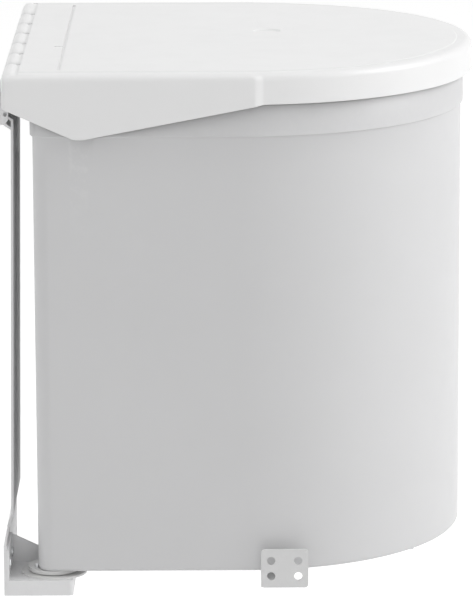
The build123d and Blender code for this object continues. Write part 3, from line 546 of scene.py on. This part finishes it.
def cut(piece, cutters):
    """Take the cutters out of a piece for good, and shade it smooth again."""
    for cutter in cutters:
        step = piece.modifiers.new("cut", "BOOLEAN")
        step.operation = "DIFFERENCE"
        step.solver = "EXACT"
        step.object = cutter
    seen = piece.evaluated_get(bpy.context.evaluated_depsgraph_get())
    mesh = bpy.data.meshes.new_from_object(seen)
    piece.modifiers.clear()
    piece.data = mesh
    mesh.shade_smooth()
    mesh.set_sharp_from_angle(angle=math.radians(sharp_angle))
    for cutter in cutters:
        bpy.data.objects.remove(cutter)
    even = piece.modifiers.new("even_shading", "WEIGHTED_NORMAL")
    even.keep_sharp = True


above = lid_top + 0.01
strip_bay = block("strip_bay", (0, mid_y - panel_in_y, point_z - 0.01),
                  (knuckle_end, mid_y + panel_in_y, above))
seam_x, seam_half, seam_depth = 0.036, 0.0009, 0.0007
seam = block("seam", (seam_x - seam_half, mid_y - 0.121, lid_top - seam_depth),
             (seam_x + seam_half, mid_y + 0.122, above))
notch_y, notch_half, notch_length, notch_depth = mid_y - 0.0378, 0.001, 0.006, 0.0008
notch = block("notch", (seam_x - notch_length, notch_y - notch_half, lid_top - notch_depth),
              (seam_x, notch_y + notch_half, above))
mark_x, mark_y, mark_r, mark_depth = 0.1576, mid_y + 0.017, 0.0085, 0.0009
dish = [(mark_r, 0.01), (mark_r, 0), (mark_r - 0.0005, -0.5 * mark_depth),
        (mark_r - 0.0012, -0.85 * mark_depth), (mark_r - 0.0024, -mark_depth), (0.003, -mark_depth + 0.0001)]
shape = bmesh.new()
skin(shape, [[(x, y, lid_top + z) for x, y in arc((mark_x, mark_y), r, 0, 360, 64)[:-1]] for r, z in dish])
mark = finish_mesh("mark", shape)
cut(lid, [strip_bay, seam, notch, mark])

# Three stiffening ribs and the follower's pad, under the lid's top.
shape = bmesh.new()
rib_pitch, rib_start, rib_end = 0.062, 0.062, round_x + 0.090
rib_top = lid_under + 0.0004
rib_foot = lid_under - 0.002
for side in (-1, 0, 1):
    y = mid_y + side * rib_pitch
    skin(shape, [[(rib_start, y - w, z), (rib_end, y - w, z), (rib_end, y + w, z), (rib_start, y + w, z)]
                 for w, z in ((0.0006, rib_foot), (0.0009, rib_foot + 0.0003), (0.001, rib_top))])
pad_x, pad_y = pivot.x + 0.014, pivot.y
pad = [(pad_x + sx * 0.006, pad_y + sy * 0.012) for sx, sy in ((-1, -1), (1, -1), (1, 1), (-1, 1))]
skin(shape, [[(x, y, z) for x, y in pad] for z in (rib_foot, rib_top)])
ribs = finish_mesh("lid_ribs", shape)

# Each knuckle swells from its ends: how far in, and how much smaller it is there.
ends = [(0, 0.0027), (0.0003, 0.0019), (0.0009, 0.0013), (0.002, 0.0008), (0.0038, 0.0004),
        (0.0065, 0.0001), (0.011, 0)]
panel_bite = 0.0004
knuckle_turns = [math.radians(a) for a in range(54, 340, 11)]
shape = bmesh.new()
for i in range(knuckle_count):
    low = mid_y - knuckle_count / 2 * knuckle_pitch + i * knuckle_pitch + knuckle_gap / 2
    high = low + knuckle_pitch - knuckle_gap
    if i == 0:
        low = mid_y - panel_in_y - panel_bite
    if i == knuckle_count - 1:
        high = mid_y + panel_in_y + panel_bite
    rings = []
    for y, shrink in [(low + y, s) for y, s in ends] + [(high - y, s) for y, s in reversed(ends)]:
        r = knuckle_r - shrink
        slab_top = lid_top - field_step - 0.0003 - 0.3 * shrink
        ring = [(rod_x + r * math.cos(turn), y, rod_z + r * math.sin(turn)) for turn in knuckle_turns]
        ring += [(knuckle_end - 0.0014, y, lid_under - 0.0006 + 0.3 * shrink),
                 (knuckle_end + panel_bite, y, lid_under), (knuckle_end + panel_bite, y, slab_top),
                 (rod_x + 0.0040, y, slab_top)]
        rings.append(ring)
    skin(shape, rings)
knuckles = finish_mesh("lid_knuckles", shape, 50)
lid_plastic = plastic("lid_plastic", (0.80, 0.80, 0.80), 0.012, 0.33, 2600.0, 0.3,
                      0.25, (0.86, 0.86, 0.86))
for piece in (lid, ribs, knuckles):
    piece.data.materials.append(lid_plastic)
    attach(piece, "lid")
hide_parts("lid_shell")

# Sheet metal on the wall
# The stamped T-shaped frame, the hinge angle along its head, the tray under the bin's
# corner and the arm to the upper pin: 1.5 mm and 2.4 mm steel, folded, riveted together
# and powder-coated white.


def soften(node, name, width, body, material):
    """A copy of a node's shape with its sharp edges broken, as cut and folded metal has."""
    shape = bmesh.new()
    shape.from_mesh(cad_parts[node].data)
    bmesh.ops.remove_doubles(shape, verts=shape.verts, dist=1e-6)
    bmesh.ops.dissolve_limit(shape, angle_limit=math.radians(0.3), verts=shape.verts, edges=shape.edges)
    piece = finish_mesh(name, shape, 30)
    edge = piece.modifiers.new("broken_edge", "BEVEL")
    edge.width = width
    edge.segments = 2
    edge.limit_method = "ANGLE"
    edge.angle_limit = math.radians(30)
    edge.harden_normals = True
    piece.data.materials.append(material)
    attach(piece, body)
    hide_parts(node)
    return piece


# The skin of powder coat: faint orange peel and a little dust.
powder_skin = bpy.data.node_groups.new("powder_skin", "ShaderNodeTree")
socket(powder_skin, "Colour", "Color", "INPUT", (0.6, 0.6, 0.6, 1))
socket(powder_skin, "Roughness", "Float", "INPUT", 0.4)
socket(powder_skin, "Colour", "Color", "OUTPUT")
socket(powder_skin, "Roughness", "Float", "OUTPUT")
socket(powder_skin, "Height", "Float", "OUTPUT")
tree = powder_skin
given = add_node(tree, "NodeGroupInput", (-900, 0))
result = add_node(tree, "NodeGroupOutput", (600, 0))
place = add_node(tree, "TexCoord", (-900, -300))
peel = noise(tree, (-600, -200), 700.0, 2.0, 0.4)
dust = noise(tree, (-600, 200), 30.0, 4.0)
for texture in (peel, dust):
    tree.links.new(place.outputs["Object"], texture.inputs["Vector"])
tone = ramp(tree, (-300, 200), dust.outputs["Fac"], 0.0, 1.0, 1.02, 0.95)
tint(tree, given, tone.outputs["Result"], result)
gloss = add_node(tree, "Math", (0, 0), operation="MULTIPLY_ADD")
gloss.inputs[1].default_value = 0.12
tree.links.new(dust.outputs["Fac"], gloss.inputs[0])
tree.links.new(given.outputs["Roughness"], gloss.inputs[2])
tree.links.new(gloss.outputs[0], result.inputs["Roughness"])
tree.links.new(peel.outputs["Fac"], result.inputs["Height"])


def coated_steel(name, colour):
    """White powder coat over folded sheet, thin and greyer along the edges."""
    values = {"Colour": (*colour, 1), "Roughness": 0.36}
    return skinned(name, powder_skin, values, 0.08, (0.42, 0.42, 0.43), 0.4, 0.00015)


white_coat = coated_steel("white_coat", (0.76, 0.76, 0.765))
for node, name in [("wall_frame", "stamped_frame"), ("hinge_bracket", "hinge_angle"),
                   ("tray", "swivel_tray"), ("upper_arm", "swivel_arm")]:
    soften(node, name, 0.0003, "wall_side", white_coat)

# Hinge strip and rod
# A white moulded strip riveted on the angle. Its six lugs stand between the lid's knuckles,
# and a plated steel rod runs through them all.
hinge_plastic = plastic("hinge_plastic", (0.66, 0.66, 0.66), 0.02, 0.42, 2200.0, 0.3,
                        0.3, (0.72, 0.72, 0.72))
soften("hinge_strip", "hinge_lugs", 0.00025, "wall_side", hinge_plastic)


def plated_steel(name, colour, roughness):
    """Zinc-plated steel: brushed along one way, with cloudy plating."""
    material = bpy.data.materials.new(name)
    material.use_nodes = True
    tree = material.node_tree
    surface = tree.nodes["Principled BSDF"]
    surface.inputs["Metallic"].default_value = 1.0
    place = add_node(tree, "TexCoord", (-1100, 0))
    stretch = add_node(tree, "Mapping", (-900, 0))
    stretch.inputs["Scale"].default_value = (1.0, 1.0, 14.0)
    tree.links.new(place.outputs["Object"], stretch.inputs["Vector"])
    cloud = noise(tree, (-650, 200), 120.0, 4.0)
    tree.links.new(place.outputs["Object"], cloud.inputs["Vector"])
    brush = noise(tree, (-650, -200), 900.0, 3.0, 0.6)
    tree.links.new(stretch.outputs["Vector"], brush.inputs["Vector"])
    tone = add_node(tree, "MixRGB", (-350, 200))
    tone.inputs["Color1"].default_value = (*[c * 0.86 for c in colour], 1)
    tone.inputs["Color2"].default_value = (*colour, 1)
    tree.links.new(cloud.outputs["Fac"], tone.inputs["Fac"])
    tree.links.new(tone.outputs["Color"], surface.inputs["Base Color"])
    gloss = ramp(tree, (-350, 0), brush.outputs["Fac"], 0.0, 1.0, roughness - 0.08, roughness + 0.1)
    tree.links.new(gloss.outputs["Result"], surface.inputs["Roughness"])
    bumped(tree, brush.outputs["Fac"], 0.25, 0.00005, surface)
    return material


def dress(node, material):
    """Give a node that keeps its own shape its finish."""
    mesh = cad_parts[node].data
    mesh.materials.clear()
    mesh.materials.append(material)


zinc = plated_steel("zinc_plate", (0.70, 0.71, 0.72), 0.34)
dress("hinge_rod", zinc)

# Swivel
# Two steel pins carry the bin: the upper one hangs from the arm, the lower one stands on
# the tray and has a spring clip. They turn in white low-friction bushes, and a moulded disc
# under the bin's corner rides on a glide washer.
glide_plastic = plastic("glide_plastic", (0.68, 0.68, 0.675), 0.03, 0.4, 1500.0, 0.25,
                        0.3, (0.74, 0.74, 0.72))
for node in ("upper_pivot_pin", "lower_pivot_pin", "retaining_clip"):
    dress(node, zinc)
for node in ("upper_bush", "lower_bush", "glide_washer"):
    dress(node, glide_plastic)
soften("swivel_disc", "corner_disc", 0.0002, "bin", glide_plastic)

# Lid lifter
# A cam ring screwed to the bin's deck and a domed follower screwed under the lid, both
# moulded in the same low-friction plastic.
soften("lift_cam", "cam_ring", 0.0003, "bin", glide_plastic)
soften("cam_follower", "follower_post", 0.0002, "lid", glide_plastic)

# Door linkage
# A steel channel under the bin's floor, a plastic slider captive in it, and the coated
# plate that is screwed to the cabinet door through its four holes.
channel_steel = plated_steel("channel_steel", (0.66, 0.67, 0.68), 0.38)
soften("guide_rail", "slider_channel", 0.0002, "bin", channel_steel)
soften("slider_block", "channel_slider", 0.0002, "slider", glide_plastic)
plate_coat = coated_steel("plate_coat", (0.68, 0.68, 0.68))
soften("door_plate", "door_bracket", 0.0002, "door_side", plate_coat)

# Fasteners
# Rivets that hold frame, bracket, arm, tray and strip together, and thread-forming screws
# in the mouldings. All are zinc-plated steel, with domed or flat heads.
for node in ("hinge_rivets", "frame_rivets", "arm_rivets", "tray_rivets", "disc_screws", "cam_screws",
             "follower_screws", "rail_screws", "slider_rivet"):
    dress(node, zinc)

# Room
# A white floor far enough below the wall-hung unit to keep its shadow out of the picture,
# a white surround that is lighter towards the wall's side, and three soft lamps: a strong
# one at the right, weak ones in front and overhead.
low, high = cad_box
floor_drop = 0.25
floor_half = 9.0
shape = bmesh.new()
bmesh.ops.create_grid(shape, x_segments=8, y_segments=8, size=floor_half)
ground = finish_mesh("ground", shape)
ground.location = (0.1, 0.0, low[2] - floor_drop)


def seen_directly(tree):
    """Add nodes that give 1 to camera, glossy and transmission rays, and 0 to the rest."""
    rays = add_node(tree, "LightPath", (-900, 0))
    either = add_node(tree, "Math", (-650, 0), operation="MAXIMUM")
    seen = add_node(tree, "Math", (-450, 0), operation="MAXIMUM")
    tree.links.new(rays.outputs["Is Camera Ray"], either.inputs[0])
    tree.links.new(rays.outputs["Is Glossy Ray"], either.inputs[1])
    tree.links.new(either.outputs[0], seen.inputs[0])
    tree.links.new(rays.outputs["Is Transmission Ray"], seen.inputs[1])
    return seen.outputs[0]


paper = bpy.data.materials.new("ground_paper")
paper.use_nodes = True
tree = paper.node_tree
surface = tree.nodes["Principled BSDF"]
surface.inputs["Base Color"].default_value = (0.8, 0.8, 0.8, 1)
surface.inputs["Roughness"].default_value = 0.9
surface.inputs["Emission Color"].default_value = (1, 1, 1, 1)
glow = add_node(tree, "Math", (-250, -200), operation="MULTIPLY")
glow.inputs[1].default_value = 0.4
tree.links.new(seen_directly(tree), glow.inputs[0])
tree.links.new(glow.outputs[0], surface.inputs["Emission Strength"])
ground.data.materials.append(paper)

world = bpy.data.worlds.new("white_room")
bpy.context.scene.world = world
world.use_nodes = True
tree = world.node_tree
sky = tree.nodes["Background"]
sky.inputs["Color"].default_value = (1, 1, 1, 1)
facing = add_node(tree, "TexCoord", (-900, -300))
split = add_node(tree, "SeparateXYZ", (-700, -300))
tree.links.new(facing.outputs["Generated"], split.inputs[0])
slope = ramp(tree, (-500, -300), split.outputs["X"], -1.0, 1.0, 1.12, 0.15)
level = ramp(tree, (-250, 0), seen_directly(tree), 0.0, 1.0)
tree.links.new(slope.outputs["Result"], level.inputs["To Min"])
tree.links.new(level.outputs["Result"], sky.inputs["Strength"])

target = Vector(((low[0] + high[0]) / 2, (low[1] + high[1]) / 2, (low[2] + high[2]) / 2))
for name, size, watts, way, distance in (("side_box", 2.4, 68.0, (0.85, -0.12, 0.45), 3.2),
                                         ("front_box", 2.0, 10.0, (0.10, -0.97, -0.12), 3.4),
                                         ("top_box", 2.4, 9.0, (0.05, -0.10, 0.99), 3.2)):
    lamp_data = bpy.data.lights.new(name, "AREA")
    lamp_data.shape = "DISK"
    lamp_data.size = size
    lamp_data.energy = watts
    lamp = bpy.data.objects.new(name, lamp_data)
    lamp.location = target + Vector(way).normalized() * distance
    lamp.rotation_euler = (lamp.location - target).to_track_quat("Z", "Y").to_euler()
    lamp.visible_camera = False
    bpy.context.scene.collection.objects.link(lamp)

# Camera
# A long lens 2.8 m in front of the unit, looking down by 12.6 degrees, placed by fitting
# the edges of bin and lid to the photograph.
camera_data = bpy.data.cameras.new("camera")
camera_data.sensor_width = 36.0
camera_data.lens = 268.92
camera = bpy.data.objects.new("camera", camera_data)
stand = (0.14632, -2.64143, 0.60541)
turn, tilt, roll = 0.0030, 0.2202, -0.0049
camera.matrix_world = (Matrix.Translation(stand) @ Matrix.Rotation(turn, 4, "Z")
                       @ Matrix.Rotation(math.pi / 2 - tilt, 4, "X") @ Matrix.Rotation(roll, 4, "Z"))
bpy.context.scene.collection.objects.link(camera)
bpy.context.scene.camera = camera
bpy.context.scene.view_settings.view_transform = "Standard"
